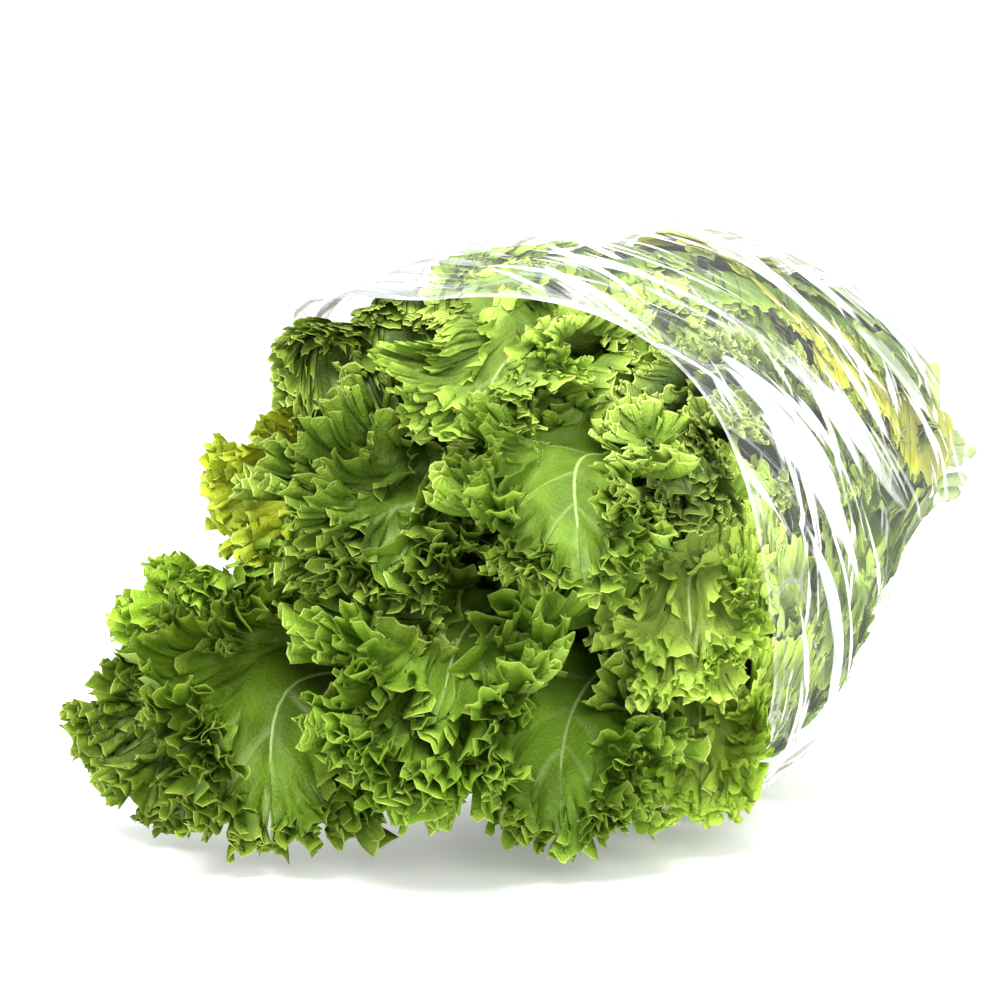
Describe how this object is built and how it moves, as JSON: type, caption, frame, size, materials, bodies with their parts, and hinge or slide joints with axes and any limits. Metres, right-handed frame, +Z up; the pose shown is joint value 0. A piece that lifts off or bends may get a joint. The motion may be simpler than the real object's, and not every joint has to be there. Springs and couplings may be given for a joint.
{
  "type": "kale bunch",
  "caption": "Bunch of curly kale leaves lying in a clear film sleeve, open at the crown and gathered round the cut stems.",
  "frame": {"origin": "on the flat spot that the sleeve's belly rests on, at the height of the surface under the bunch", "axes": "+X along the bunch from the crown of leaves to the cut stems, +Z up from the surface it lies on"},
  "size_m": [0.4542, 0.2564, 0.2342],
  "materials": {
    "leaf_front_floor": "satin",
    "leaf_left_floor": "satin",
    "leaf_left_low": "satin",
    "leaf_left": "satin",
    "leaf_left_top": "satin",
    "leaf_top_front": "satin",
    "leaf_heart": "satin",
    "leaf_heart_left": "satin",
    "leaf_heart_low": "satin",
    "leaf_front_low": "satin",
    "leaf_right_fine": "satin",
    "leaf_right_floor": "satin",
    "leaf_right_top": "satin",
    "leaf_film_top": "satin",
    "leaf_film_yellow": "satin",
    "leaf_film_right": "satin",
    "leaf_film_left": "satin",
    "leaf_film_under": "satin",
    "sleeve": "gloss"
  },
  "bodies": {
    "root": {"leaf_front_floor": "leaf_front_floor", "leaf_left_floor": "leaf_left_floor", "leaf_left_low": "leaf_left_low", "leaf_left": "leaf_left", "leaf_left_top": "leaf_left_top", "leaf_top_front": "leaf_top_front", "leaf_heart": "leaf_heart", "leaf_heart_left": "leaf_heart_left", "leaf_heart_low": "leaf_heart_low", "leaf_front_low": "leaf_front_low", "leaf_right_fine": "leaf_right_fine", "leaf_right_floor": "leaf_right_floor", "leaf_right_top": "leaf_right_top", "leaf_film_top": "leaf_film_top", "leaf_film_yellow": "leaf_film_yellow", "leaf_film_right": "leaf_film_right", "leaf_film_left": "leaf_film_left", "leaf_film_under": "leaf_film_under", "sleeve": "sleeve"}
  },
  "joints": []
}
